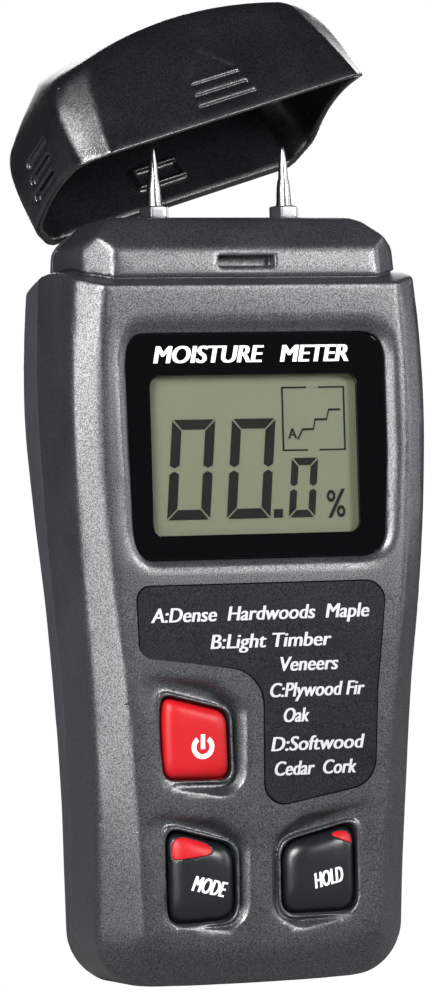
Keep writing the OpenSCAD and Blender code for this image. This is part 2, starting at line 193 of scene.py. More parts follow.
HEIGHTS = [0, 16, 30, 46, 60, 74, 90, 102, 112]
HALF_W = [25.2, 25.4, 25.7, 26.55, 27.75, 28.65, 29.15, 28.7, 27.9]
FACE_Y = [-10.0, -11.25, -12.3, -13.4, -13.95, -14, -14, -13.95, -13.95]
SLOPE_Y = [-4.6, -6.1, -8.0, -9.3, -10.5, -11.2, -11.2, -11.0, -10.4]
REAR_Y = [11, 11, 10.6, 10.4, 9.8, 11.4, 13.2, 13.6, 13.6]
SLOPE_W = [5.9, 5.7, 5.2, 4.6, 4.2, 4.15, 4.15, 4.15, 4.15]


def face_y(z):
    """Depth of the front face at a height."""
    return eased(z, HEIGHTS, FACE_Y)


def part_y(z):
    """Depth of the parting line between the two shells at a height."""
    return PART_Y + (z - PART_Z) ** 2 / (2 * PART_R)


def half_width(z):
    """Half width at the side edges and its slope, with the round bottom corners."""
    w = eased(z, HEIGHTS, HALF_W)
    down = np.clip(BASE_CORNER - z, 0, BASE_CORNER - 0.02)
    round_off = BASE_CORNER - np.sqrt(BASE_CORNER ** 2 - down ** 2)
    tilt = 1 / np.sqrt(1 + (down / np.sqrt(BASE_CORNER ** 2 - down ** 2)) ** 2)
    return w - round_off, tilt.astype(np.float32)


def body_field(g, rear_inset=0.0):
    ax, y, z = np.abs(g.x), g.y, g.z
    w, tilt = half_width(z)
    yf, yc, yr, yp = face_y(z), eased(z, HEIGHTS, SLOPE_Y), eased(z, HEIGHTS, REAR_Y), part_y(z)
    bulge = 0.3 - rear_inset
    w = w - rear_inset
    # Seen from above, clockwise from the front face round the right side to the back
    edges = [(w - eased(z, HEIGHTS, SLOPE_W), yf), (w, yc), (w + bulge + rear_inset, yp), (w, yr),
             (w - 0.8 * (BACK - yr) - 0.4, BACK)]
    front = yf - y
    slope = plane2(ax, y, edges[0], edges[1]) * tilt
    side = np.maximum(plane2(ax, y, edges[1], edges[2]), plane2(ax, y, edges[2], edges[3])) * tilt
    rear_slope = plane2(ax, y, edges[3], edges[4]) * tilt
    d = smax(smax(front, slope, 0.4), side, 0.7)
    d = smax(d, rear_slope, 0.9)
    d = smax(d, y - BACK + rear_inset, 1.2)
    # Underside: a slope along the bottom of the front face, and the base
    lip = 5.4 + 2.2 * (ax / 20) ** 2
    under = -0.795 * (y + 10.8) - 0.607 * (z - lip)
    d = smax(d, under, 0.9)
    return smax(d, -z, 0.8)


def seam_field(g, gap=0.0):
    """Negative under the arched seam."""
    return np.hypot(g.y, np.maximum(g.z - (SEAM_PEAK - SEAM_R), 0)) - SEAM_R + gap


def neck_field(g):
    ax, y, z = np.abs(g.x), g.y, g.z
    rise = np.clip((z - 108) / (NECK_TOP - NECK_SLOPE - 108), 0, 1)
    yf, yb, w = FRONT + 2 + 0.6 * rise, BACK - 2.6 - 0.2 * rise, NECK_HALF - 0.3 * rise
    d = smax(yf - y, ax - w, 0.5)
    d = smax(d, plane2(ax, y, (w - 4.2, yf), (w, yf + 3.5)), 0.45)
    d = smax(d, plane2(ax, y, (w, yb - 3.6), (w - 3.6, yb)), 0.8)
    d = smax(d, y - yb, 0.8)
    top_y = FRONT + 2.6
    d = smax(d, plane2(z, y, (NECK_TOP - NECK_SLOPE, top_y), (NECK_TOP, top_y + NECK_SLOPE)), 0.6)
    d = smax(d, plane2(z, y, (NECK_TOP, BACK - 2.8 - NECK_SLOPE), (NECK_TOP - NECK_SLOPE, BACK - 2.8)), 1.0)
    d = smax(d, 0.66 * (ax - 25.6) + 0.75 * (z - 114.2), 0.8)
    return np.maximum(smax(d, z - NECK_TOP, 1.4), 104 - z)


def casing(g, rear_inset=0.0):
    """Body with its neck, as one solid, and the same drawn in by the wall."""
    body = body_field(g, rear_inset)
    shoulder = smax(body, seam_field(g), 0.5)
    neck = neck_field(g)
    outer = smin(shoulder, neck, 0.25)
    hollow = np.minimum(np.maximum(body + SHELL_WALL, seam_field(g, SHELL_WALL)), neck + SHELL_WALL)
    return outer, hollow


# Front outlines, clockwise from the top left: (x, z)
RECESS = [(-23, 102.3), (23.2, 102.3), (23.4, 82), (22.2, 64.6), (-21.8, 64.6), (-23, 82)]
WINDOW = [(-21.4, 100.4), (21.7, 100.4), (21.8, 82), (21, 65.8), (-20.8, 65.8), (-21.4, 82)]
VIEW = [(-16.8, 94), (17.1, 94), (17.1, 69.5), (-16.8, 69.5)]
POWER = [(-16.1, 44.8), (-5.9, 42.1), (-5.5, 32.4), (-15.6, 32.6), (-16.5, 38)]
MODE = [(-15.3, 24.4), (-4.7, 21.4), (-4.6, 10.6), (-14.9, 10.2)]
HOLD = [(3.6, 21.4), (15.2, 24.2), (15.3, 11.0), (3.8, 11.0)]
POWER_DISH = [(-20, 48.4), (-8, 47.2), (-2.6, 43.4), (-2.6, 31.0), (-6, 29.2), (-17.5, 31.2)]
MODE_DISH = [(-19, 27.2), (-7, 26.0), (-2.1, 22.6), (-2.1, 10.6), (-5.4, 8.4), (-17, 10.0)]
HOLD_DISH = [(1.5, 22.6), (6.4, 26.0), (19, 28.0), (17.2, 10.4), (6.0, 8.2), (1.5, 10.8)]
DISH_DEPTH = 2.1
DISH_RISE = 0.045
KEY_GAP = 0.55
COLLAR = 0.45


# Each key's outline, its corner radius, its dish, and the x where the dish starts and where it is deepest
KEY_PLACES = [(POWER, 1.8, POWER_DISH, -15.9, -2.8), (MODE, 2.4, MODE_DISH, -15.3, -2.2),
              (HOLD, 2.4, HOLD_DISH, 15.1, 1.6)]


def dish_field(g, corners, x_shallow, x_deep):
    """A scoop round a key: its floor slopes down from the front face towards x_deep and a little upwards."""
    low = min(z for x, z in corners)
    depth = DISH_DEPTH * (g.x - x_shallow) / (x_deep - x_shallow) + DISH_RISE * (g.z - low)
    floor = g.y - (face_y(g.z) + depth) - 0.03
    walls = outline(g.x, g.z, corners, 2.6) * 0.75 + (g.y - face_y(g.z)) * 0.66
    return smax(walls, floor, 0.5)


def front_shell():
    step = 0.24
    g = Grid((-31, -15, -1), (31, 9, 120.5), step)
    outer, hollow = casing(g)
    d = np.maximum(outer, -hollow)
    depth = WINDOW_SINK
    recess_walls = outline(g.x, g.z, RECESS, 4.6) * 0.62 + (g.y - face_y(g.z)) * 0.78
    recess = smax(recess_walls, g.y - (FRONT + depth), 0.15)
    d = cut(d, recess, 0.35)
    d = cut(d, np.maximum(outline(g.x, g.z, WINDOW, 3.6) - 0.12, g.y - (FRONT + depth + 0.8)), 0.15)
    d = cut(d, np.maximum(outline(g.x, g.z, VIEW, 1.5) - 1.2, slab(g.y, *THROUGH)), 0.2)
    for corners, corner, dish, shallow, deep in KEY_PLACES:
        edge = outline(g.x, g.z, corners, corner)
        floor = face_y(g.z) + 0.5
        backing = np.maximum(outline(g.x, g.z, dish, 2.6) - 0.5, slab(g.y, floor, floor + SHELL_WALL + 2.2))
        d = cut(np.minimum(d, np.maximum(backing, outer)), dish_field(g, dish, shallow, deep), 0.35)
        d = smin(d, smax(edge - KEY_GAP - COLLAR, slab(g.y, floor - 0.2, floor + 3), 0.3), 0.3)
        d = cut(d, np.maximum(edge - KEY_GAP, slab(g.y, *THROUGH)), 0.3)
    slot = smax(slab(g.x, -4.6, 4.6), slab(g.z, 110.8, 112.5), 0.3)
    d = np.minimum(d, brick(g, -5.6, 5.6, FRONT + 3, FRONT + 6.4, 109.8, 113.5))
    d = cut(d, np.maximum(slot, slab(g.y, -20, FRONT + 4.5)), 0.2)
    for side in (-1, 1):
        d = cut(d, np.maximum(np.hypot(g.x - side * PIN_X, g.y) - 1.6, slab(g.z, 110, 125)), 0.2)
    d = cut(d, np.maximum(slab(seam_field(g), 0.02, 0.4), -(neck_field(g) + 0.5)), 0.12)
    d = smax(d, g.y - part_y(g.z), 0.5)
    return surface("front_casing", g, d)


def rear_shell():
    step = 0.28
    g = Grid((-31, 1, -1), (31, 15.2, 120), step)
    outer, hollow = casing(g, 0.22)
    d = np.maximum(outer, -hollow)
    door_corners = [(-DOOR_HALF, DOOR_TOP), (DOOR_HALF, DOOR_TOP),
                    (DOOR_HALF, BELOW_BASE), (-DOOR_HALF, BELOW_BASE)]
    opening = np.maximum(outline(g.x, g.z, door_corners, 0.8), slab(g.y, 12.05, 20))
    d = cut(d, opening, 0.3)
    d = cut(d, brick(g, -14.1, 14.1, 9, 20, 3, 55), 0.2)
    along = np.maximum(slab(g.y, 11.3, 12.9), slab(g.z, -2, 56))
    rail_ways = np.maximum(slab(np.abs(g.x), 13.25, 14.25), along)
    d = cut(d, rail_ways, 0.1)
    for x, z in CASE_SCREWS:
        for side in (-1, 1):
            well = np.hypot(g.x - side * x, g.z - z)
            boss = np.maximum(well - BOSS_R, slab(g.y, 5.2, 13))
            d = np.minimum(d, np.maximum(boss, outer))
            d = cut(d, np.maximum(well - WELL_R, slab(g.y, 9.2, 20)), 0.35)
            d = cut(d, np.maximum(well - SCREW_BORE, slab(g.y, 0, 20)), 0.1)
    d = smax(d, part_y(g.z) - g.y, 0.6)
    return surface("rear_casing", g, d)


def battery_door():
    step = 0.2
    g = Grid((-16.5, 10.8, -1), (16.5, 15, 57.5), step)
    body = body_field(g)
    plate = outline(g.x, g.z, [(-15.35, 55.95), (15.35, 55.95), (15.35, -8), (-15.35, -8)], 0.8)
    d = smax(np.maximum(plate, 12.2 - g.y), body + 0.02, 0.6)
    rails = np.maximum(slab(np.abs(g.x), 13.5, 14.0), np.maximum(slab(g.y, 11.6, 12.6), slab(g.z, 8, 53)))
    d = np.minimum(d, rails)
    from_scoop = np.hypot(g.x / 1.5, g.z - SCOOP_Z)
    d = cut(d, np.maximum(from_scoop - 6, 13.3 - g.y), 0.5)
    for i in range(5):
        rib = np.hypot(g.y - 13.2, g.z - (43.4 + 1.8 * i)) - 0.42
        d = np.minimum(d, np.maximum(np.maximum(rib, from_scoop - 5.6), 12.4 - g.y))
    return surface("battery_lid", g, d)


# ---------------------------------------------------------------- the cap

def cap_solid(g):
    """The cap as it sits when it is on, as a full solid."""
    ax, y, z = np.abs(g.x), g.y, g.z
    w = eased(z, [104, 110, 119, 124, 130, 136], [28.3, 28.2, 27.2, 26.0, 23.0, 18.0])
    face_w = eased(z, [104, 108, 119, 124, 130], [25.2, 24.4, 21.4, 19.6, 17.5])
    d = smax(FRONT - y, plane2(ax, y, (face_w, FRONT), (w, FRONT + 3.6)), 0.4)
    d = smax(d, ax - w, 0.8)
    d = smax(d, plane2(ax, y, (w, BACK - 4.2), (w - 3.8, BACK)), 1.2)
    d = smax(d, y - BACK, 1.2)
    rise = (CAP_TOP + 0.3) - math.tan(ROOF_SLOPE) * np.abs(y + 0.2)
    ridge = SOFT_RIDGE * np.exp(-(y / 3.2) ** 2)
    roof = (np.hypot(g.x, z - rise + ridge + ROOF_R) - ROOF_R) * math.cos(ROOF_SLOPE)
    d = smax(d, 0.69 * (ax - 25.4) + 0.72 * (z - 124.4), 3.4)
    return smax(d, roof, 1.2)


def cap_marks(g):
    """Arrow and bars pressed in the front, and grip grooves pressed in the sides."""
    arrow = outline(g.x, g.z, [(0, 120.4), (4.8, 115.9), (-4.8, 115.9)], 0.05)
    marks = np.maximum(arrow, g.y - (FRONT + 0.12))
    for i in range(3):
        half = 4.6 + 0.45 * i
        bar = np.maximum(slab(g.x, -half, half), slab(g.z, 114.9 - 2 * i, 115.3 - 2 * i))
        marks = np.minimum(marks, np.maximum(bar, g.y - (FRONT + 0.4)))
    for i in range(3):
        z0 = 117.9 - 2.5 * i
        bar = np.hypot(np.maximum(np.abs(g.y + 0.6 - 0.8 * i) - 3.6, 0), g.z - z0) - 0.6
        marks = np.minimum(marks, np.maximum(bar, 26.75 + 0.16 * i - np.abs(g.x)))
    return marks


def cap():
    step = 0.24
    g = Grid((-30, -15, 105), (30, 15, 134.5), step)
    solid = cap_solid(g)
    d = np.maximum(solid, -(solid + CAP_WALL))
    back_in = BACK - CAP_WALL
    catch = smax(brick(g, -4.6, 4.6, back_in - 0.7, back_in + 0.5, 112.2, 115.9),
                 -brick(g, -3.9, 3.9, 5, back_in + 1, 112.8, 115.3), 0.1)
    d = np.minimum(d, np.maximum(catch, solid))
    d = cut(d, cap_marks(g), 0.15)
    d = smax(d, -seam_field(g, -0.15), 0.4)
    piece = surface("pin_cap", g, d)
    piece.data.transform(cap_tilt())
    return piece


def cap_tilt():
    """From the closed place to where the cap is drawn: a turn about the cap joint's own line."""
    joint = joints["cap_off"]
    at = Vector(joint["pos_m"])
    turn = Matrix.Rotation(math.radians(-joint["range_deg"][0]), 4, Vector(joint["axis"]).normalized())
    return Matrix.Translation(at) @ turn @ Matrix.Translation(-at)


# ---------------------------------------------------------------- keys, pins and nuts

KEY_TILT = 0.08
POWER_FACE = -13.4
LOWER_FACE = -12.15


def key_top(face, corners, x, z):
    """Depth of a key's front, which is crowned and falls back as it goes down."""
    mx = sum(c[0] for c in corners) / len(corners)
    mz = sum(c[1] for c in corners) / len(corners)
    return face + KEY_TILT * (mz - z) + 0.1 * (((x - mx) / 5) ** 2 + ((z - mz) / 6) ** 2)


def key(corners, face, back, bevel, corner=1.8):
    """A key's field: a rounded block that widens a little towards its back, where a flange keeps it in."""
    xs, zs = [c[0] for c in corners], [c[1] for c in corners]
    step = 0.13
    g = Grid((min(xs) - 1.5, face - 1.6, min(zs) - 1.5), (max(xs) + 1.5, back + 0.5, max(zs) + 1.5), step)
    edge = outline(g.x, g.z, corners, corner)
    top = key_top(face, corners, g.x, g.z) - g.y
    block = smax(smax(edge + 0.12 * (face - g.y), top, bevel), g.y - back, 0.3)
    return g, np.minimum(block, np.maximum(edge - 0.9, slab(g.y, back - 0.6, back)))


def on_key(face, corners):
    """Printed on a key's front."""
    return lambda x, z, h: (x, key_top(face, corners, x, z) - 0.03 - h, z)


def marker_zone(g, side):
    """The corner of a lower key that is moulded in red."""
    if side > 0:
        return plane2(g.x, g.z, (9.4, 23.4), (14.8, 21.0)) + 0 * g.y
    lower = plane2(-g.x, g.z, (8.3, 20.5), (15.4, 19.8))
    return smax(lower, plane2(-g.x, g.z, (11.6, 25.2), (7.7, 20.8)), 2.0)


def lower_key(name, marker_name, corners, side):
    g, d = key(corners, LOWER_FACE, -8.6, 3.0, 2.4)
    inside = outline(g.x, g.z, corners, 2.4) + 0.35
    zone = smax(smax(marker_zone(g, side), inside, 0.8), g.y + 9.5, 0.2)
    body = surface(name, g, smax(d, -zone - 0.03, 0.08), 0.02)
    inlay = surface(marker_name, g, smax(d, zone, 0.08), 0.02)
    return body, inlay


def lathe(name, profile, x, y, sides=64):
    """A turned piece on a vertical axis. profile is (radius, height), from bottom centre to top centre."""
    rings = [(r, z) for r, z in profile if r > 0]
    points = [(x, y, profile[0][1])]
    for r, z in rings:
        points += [(x + r * math.cos(2 * math.pi * k / sides), y + r * math.sin(2 * math.pi * k / sides), z)
                   for k in range(sides)]
    points.append((x, y, profile[-1][1]))
    quads, triangles = [], []
    last = len(points) - 1
    for k in range(sides):
        n = (k + 1) % sides
        triangles += [(0, 1 + n, 1 + k), (last, last - sides + k, last - sides + n)]
        for i in range(len(rings) - 1):
            a, b = 1 + i * sides, 1 + (i + 1) * sides
            quads.append((a + k, a + n, b + n, b + k))
    obj = mesh_object(name, points, quads, triangles)
    obj.data.set_sharp_from_angle(angle=math.radians(50))
    return obj


PIN = [(0, 105), (1.5, 105), (1.5, 120.6), (1.22, 121.3), (1.1, 123.6), (0.96, 124.8), (0.8, 125.3),
       (0.66, 127.4), (0.34, 129.6), (0.14, 130.3), (0, 130.4)]


def nuts():
    """The two lock nuts: hexagons with turned-off corners."""
    step = 0.08
    g = Grid((-14.4, -2.9, 118.6), (14.4, 2.9, 121.3), step)
    x = np.abs(g.x) - PIN_X
    d = slab(g.z, 118.9, 120.95)
    for a in (0, 60, 120):
        c, s = math.cos(math.radians(a + 30)), math.sin(math.radians(a + 30))
        d = smax(d, np.abs(c * x + s * g.y) - 2.16, 0.12)
    radial = np.hypot(x, g.y)
    d = smax(d, 0.5 * (radial - 2.16) + 0.86 * (np.abs(g.z - 119.92) - 0.98), 0.12)
    bore = np.maximum(radial - 1.28, radial - 1.28 - 0.7 * (g.z - 120.6))
    return surface("lock_nuts", g, smax(d, -bore, 0.1), 0.02)


# ---------------------------------------------------------------- printed and flat pieces

def rounded(corners, steps=8):
    """Points of an outline whose corners (x, z, radius) are rounded."""
    points, n = [], len(corners)
    for i in range(n):
        p, q, s = (Vector(corners[(i + k) % n][:2]) for k in (-1, 0, 1))
        r = corners[i][2]
        a, b = (p - q).normalized(), (s - q).normalized()
        half = a.angle(b) / 2
        centre = q + (a + b).normalized() * (r / math.sin(half))
        start, end = (q + e * (r / math.tan(half)) - centre for e in (a, b))
        for k in range(steps + 1):
            points.append(tuple(centre + start.lerp(end, k / steps).normalized() * r))
    return points


def flatten(obj, name, place, slices=()):
    """Turns a curve or text into a mesh, and puts each of its points where place(x, z, height) says."""
    bpy.context.view_layer.update()
    mesh = bpy.data.meshes.new_from_object(obj.evaluated_get(bpy.context.evaluated_depsgraph_get()))
    bpy.data.objects.remove(obj)
    bm = bmesh.new()
    bm.from_mesh(mesh)
    bmesh.ops.remove_doubles(bm, verts=bm.verts, dist=1e-4)
    for z in slices:
        whole = bm.verts[:] + bm.edges[:] + bm.faces[:]
        bmesh.ops.bisect_plane(bm, geom=whole, plane_co=(0, z, 0), plane_no=(0, 1, 0))
    for v in bm.verts:
        v.co = Vector(place(v.co.x, v.co.y, v.co.z)) * MM
    bm.to_mesh(mesh)
    bm.free()
    mesh.name = name
    piece = bpy.data.objects.new(name, mesh)
    bpy.context.scene.collection.objects.link(piece)
    face_outward(piece)
    mesh.shade_flat()
    return piece


def plate(name, loops, thick, place, bevel=0.0, slices=()):
    """A flat piece bounded by loops of (x, z) points: the outside first, then any holes."""
    curve = bpy.data.curves.new(name, "CURVE")
    curve.dimensions = "2D"
    curve.fill_mode = "BOTH"
    curve.extrude = thick / 2 - bevel
    curve.bevel_depth = bevel
    curve.offset = -bevel
    curve.bevel_resolution = 2
    for loop in loops:
        spline = curve.splines.new("POLY")
        spline.points.add(len(loop) - 1)
        for point, (x, z) in zip(spline.points, loop):
            point.co = (x, z, 0, 1)
        spline.use_cyclic_u = True
    obj = bpy.data.objects.new(name + "_curve", curve)
    bpy.context.scene.collection.objects.link(obj)
    return flatten(obj, name, place, slices)


def at_depth(y):
    """Flat, with its middle at depth y."""
    return lambda x, z, h: (x, y - h, z)


def on_face(lift):
    """Laid on the front face, its middle that far in front of it."""
    return lambda x, z, h: (x, float(face_y(np.array(z))) - lift - h, z)


def letters(name, text, left, base, right, height, thick, place, lean=0.0, bold=0.0, turn=0.0):
    """Text fitted between left and right, with capitals that high. lean slants it, bold is how much wider
    its strokes are made in mm, and turn is degrees about its start."""
    curve = bpy.data.curves.new(name, "FONT")
    curve.body = text
    curve.resolution_u = 4
    obj = bpy.data.objects.new(name + "_text", curve)
    bpy.context.scene.collection.objects.link(obj)
    bpy.context.view_layer.update()
    corners = [Vector(c) for c in obj.bound_box]
    x0, x1 = min(c.x for c in corners), max(c.x for c in corners)
    scale_z = height / 0.73
    scale_x = (right - left - lean * height - bold) / (x1 - x0)
    c, s = math.cos(math.radians(turn)), math.sin(math.radians(turn))
    strikes = 3 if bold else 1

    def put(i):
        def moved(x, z, h):
            z *= scale_z
            x = (x - x0) * scale_x + lean * z + bold * i / max(1, strikes - 1)
            return place(left + c * x - s * z, base + s * x + c * z, h + 0.012 * i)
        return moved

    curve.extrude = thick / 2
    copies = [obj] + [obj.copy() for _ in range(strikes - 1)]
    for copy in copies[1:]:
        bpy.context.scene.collection.objects.link(copy)
    return join(name, [flatten(o, f"{name}_{i}", put(i)) for i, o in enumerate(copies)])


def join(name, pieces):
    """Several mesh pieces as one."""
    bm = bmesh.new()
    for piece in pieces:
        bm.from_mesh(piece.data)
        bpy.data.objects.remove(piece)
    mesh = bpy.data.meshes.new(name)
    bm.to_mesh(mesh)
    bm.free()
    obj = bpy.data.objects.new(name, mesh)
    bpy.context.scene.collection.objects.link(obj)
    return obj


def box_loop(x0, x1, z0, z1):
    return [(x0, z0), (x1, z0), (x1, z1), (x0, z1)]


# ---------------------------------------------------------------- the display

INK_Y = -11.36
DIGIT_LEAN = 0.085


def digit(left, width, base, height, stroke):
    """Six bars of a slanted nought, as loops of points: two at the ends, four at the sides."""
    gap = 0.22
    top, mid = base + height, base + height / 2
    right = left + width
    m = stroke / 2
    bars = [
        [(left + gap, base), (right - gap, base), (right - stroke - gap / 2, base + stroke),
         (left + stroke + gap / 2, base + stroke)],
        [(left + gap, top), (left + stroke + gap / 2, top - stroke), (right - stroke - gap / 2, top - stroke),
         (right - gap, top)]]
    for x0, inward in ((left, 1), (right, -1)):
        x1 = x0 + inward * stroke
        for z0, z1, end in ((base + gap, mid - gap, 1), (top - gap, mid + gap, -1)):
            bars.append([(x0, z0), (x1, z0 + end * stroke), (x1, z1 - end * m * 0.6), (x0 + inward * m, z1),
                         (x0, z1 - end * m * 0.6)])
    return [[(x + DIGIT_LEAN * (z - base), z) for x, z in bar] for bar in bars]


def display_ink():
    """Everything that the display shows: 00.0, a percent sign, and a box with a stair line in it."""
    low = 71.9
    loops = digit(-14.1, 7.0, low, 15.4, 1.55) + digit(-4.35, 7.15, low, 15.4, 1.55)
    loops += digit(5.85, 4.35, low, 9.2, 1.15)
    loops.append(box_loop(3.4, 4.9, low, low + 1.35))
    made = [plate(f"bar_{i}", [loop], 0.06, at_depth(INK_Y)) for i, loop in enumerate(loops)]
    for i, (x, z) in enumerate(((13.1, 75.1), (14.7, 72.7))):
        ring = [(math.cos(a) * 0.72, math.sin(a) * 0.95) for a in np.linspace(0, 2 * math.pi, 25)[:-1]]
        loops = [[(x - 0.14 + k * u, z + k * v) for u, v in ring] for k in (1, 0.42)]
        made.append(plate(f"ring_{i}", loops, 0.06, at_depth(INK_Y)))
    stroke = [(12.4, 71.7), (13.0, 71.7), (15.3, 76.2), (14.7, 76.2)]
    made.append(plate("stroke", [stroke], 0.06, at_depth(INK_Y)))
    thin = 0.26
    x0, x1, z0, z1 = 5.3, 15.5, 82.3, 92.0
    gap_low, gap_high = 9.2, 11.4
    sides = [((x0, z0), (gap_low, z0)), ((gap_high, z0), (x1, z0)), ((x0, z1), (gap_low, z1)),
             ((gap_high, z1), (x1, z1)), ((x0, z0), (x0, z1)), ((x1, z0), (x1, z1))]
    for i, (p, q) in enumerate(sides):
        loop = box_loop(p[0] - thin / 2, q[0] + thin / 2, p[1] - thin / 2, q[1] + thin / 2)
        made.append(plate(f"edge_{i}", [loop], 0.06, at_depth(INK_Y)))
    stairs = [(7.7, 84.0), (8.5, 85.5), (10.3, 85.5), (10.6, 87.0), (12.5, 87.0), (12.9, 88.5), (14.8, 88.5)]
    t = 0.17
    loop = [(x, z + t) for x, z in stairs] + [(x + 0.1, z - t) for x, z in reversed(stairs)]
    made.append(plate("stairs", [loop], 0.06, at_depth(INK_Y)))
    made.append(letters("group", "A", 6.1, 84.1, 7.6, 1.7, 0.06, at_depth(INK_Y), bold=0.08))
    return join("display_ink", made)


LABEL_LINES = [("A:Dense  Hardwoods  Maple", -18.1, 56.3, 18.0), ("B:Light Timber", -8.5, 52.05, 11.6),
               ("Veneers", 2.5, 48.3, 12.7), ("C:Plywood Fir", 1.0, 44.3, 17.0), ("Oak", 3.2, 40.4, 7.9),
               ("D:Softwood", 1.3, 36.0, 16.8), ("Cedar  Cork", 1.7, 32.2, 15.7)]


def power_sign(x, z):
    """A ring open at the top with a bar in the opening."""
    arc = [math.radians(a) for a in range(-234, 55, 9)]
    outer = [(x + 1.85 * math.cos(a), z + 1.85 * math.sin(a)) for a in arc]
    inner = [(x + 1.1 * math.cos(a), z + 1.1 * math.sin(a)) for a in reversed(arc)]
    return [outer + inner, box_loop(x - 0.34, x + 0.34, z - 0.3, z + 1.95)]


# ---------------------------------------------------------------- looks

def look(name, colour, rough, grain=0.4, bump=0.0, tone=0.08, metal=0.0, sparkle=0.0, specular=0.5,
         rough_spread=0.06, blotch=9.0):
    """A procedural finish. grain is the size of its fine texture in mm, bump that texture's depth in mm, tone
    its contrast in colour, sparkle its contrast in shine, and blotch the size in mm of slow changes of tone."""
    mat = bpy.data.materials.new(name)
    mat.use_nodes = True
    tree = mat.node_tree
    shader = tree.nodes["Principled BSDF"]
    shader.inputs["Metallic"].default_value = metal
    shader.inputs["Specular IOR Level"].default_value = specular
    where = tree.nodes.new("ShaderNodeTexCoord")

    def noise(size, detail, roughness=0.5):
        n = tree.nodes.new("ShaderNodeTexNoise")
        n.inputs["Scale"].default_value = 1000.0 / size
        n.inputs["Detail"].default_value = detail
        n.inputs["Roughness"].default_value = roughness
        tree.links.new(where.outputs["Object"], n.inputs["Vector"])
        return n.outputs["Fac"]

    fine, slow = noise(grain, 1.5), noise(blotch, 2.0)
    both = tree.nodes.new("ShaderNodeMath")
    both.operation = "MULTIPLY_ADD"
    both.inputs[1].default_value = 0.3
    tree.links.new(slow, both.inputs[0])
    tree.links.new(fine, both.inputs[2])
    ramp = tree.nodes.new("ShaderNodeValToRGB")
    ramp.color_ramp.elements[0].position = 0.54
    ramp.color_ramp.elements[1].position = 0.78
    ramp.color_ramp.elements[0].color = [c * (1 - tone) for c in colour] + [1]
    ramp.color_ramp.elements[1].color = [min(1, c * (1 + tone)) for c in colour] + [1]
    tree.links.new(both.outputs[0], ramp.inputs["Fac"])
    tree.links.new(ramp.outputs["Color"], shader.inputs["Base Color"])
    spread = tree.nodes.new("ShaderNodeMapRange")
    spread.inputs["To Min"].default_value = max(0.02, rough - rough_spread)
    spread.inputs["To Max"].default_value = min(1, rough + rough_spread)
    tree.links.new(slow, spread.inputs["Value"])
    tree.links.new(spread.outputs["Result"], shader.inputs["Roughness"])
    if sparkle:
        shine = tree.nodes.new("ShaderNodeMapRange")
        shine.inputs["From Min"].default_value = 0.38
        shine.inputs["From Max"].default_value = 0.62
        shine.inputs["To Min"].default_value = specular * (1 - sparkle)
        shine.inputs["To Max"].default_value = specular * (1 + sparkle)
        tree.links.new(fine, shine.inputs["Value"])
        tree.links.new(shine.outputs["Result"], shader.inputs["Specular IOR Level"])
    if bump:
        lift = tree.nodes.new("ShaderNodeBump")
        lift.inputs["Strength"].default_value = 1.0
        lift.inputs["Distance"].default_value = bump * MM
        tree.links.new(fine, lift.inputs["Height"])
        tree.links.new(lift.outputs["Normal"], shader.inputs["Normal"])
    return mat


def clear_look(name):
    """A thin clear pane: seen through, with a faint reflection."""
    mat = look(name, (1, 1, 1), 0.05, tone=0.02, rough_spread=0.02)
    tree = mat.node_tree
    through = tree.nodes.new("ShaderNodeBsdfTransparent")
    through.inputs["Color"].default_value = (0.97, 0.98, 0.97, 1)
    fresnel = tree.nodes.new("ShaderNodeFresnel")
    fresnel.inputs["IOR"].default_value = 1.15
    gloss = tree.nodes.new("ShaderNodeBsdfGlossy")
    gloss.inputs["Roughness"].default_value = 0.05
    mix = tree.nodes.new("ShaderNodeMixShader")
    tree.links.new(fresnel.outputs[0], mix.inputs["Fac"])
    tree.links.new(through.outputs[0], mix.inputs[1])
    tree.links.new(gloss.outputs[0], mix.inputs[2])
    tree.links.new(mix.outputs[0], tree.nodes["Material Output"].inputs["Surface"])
    return mat


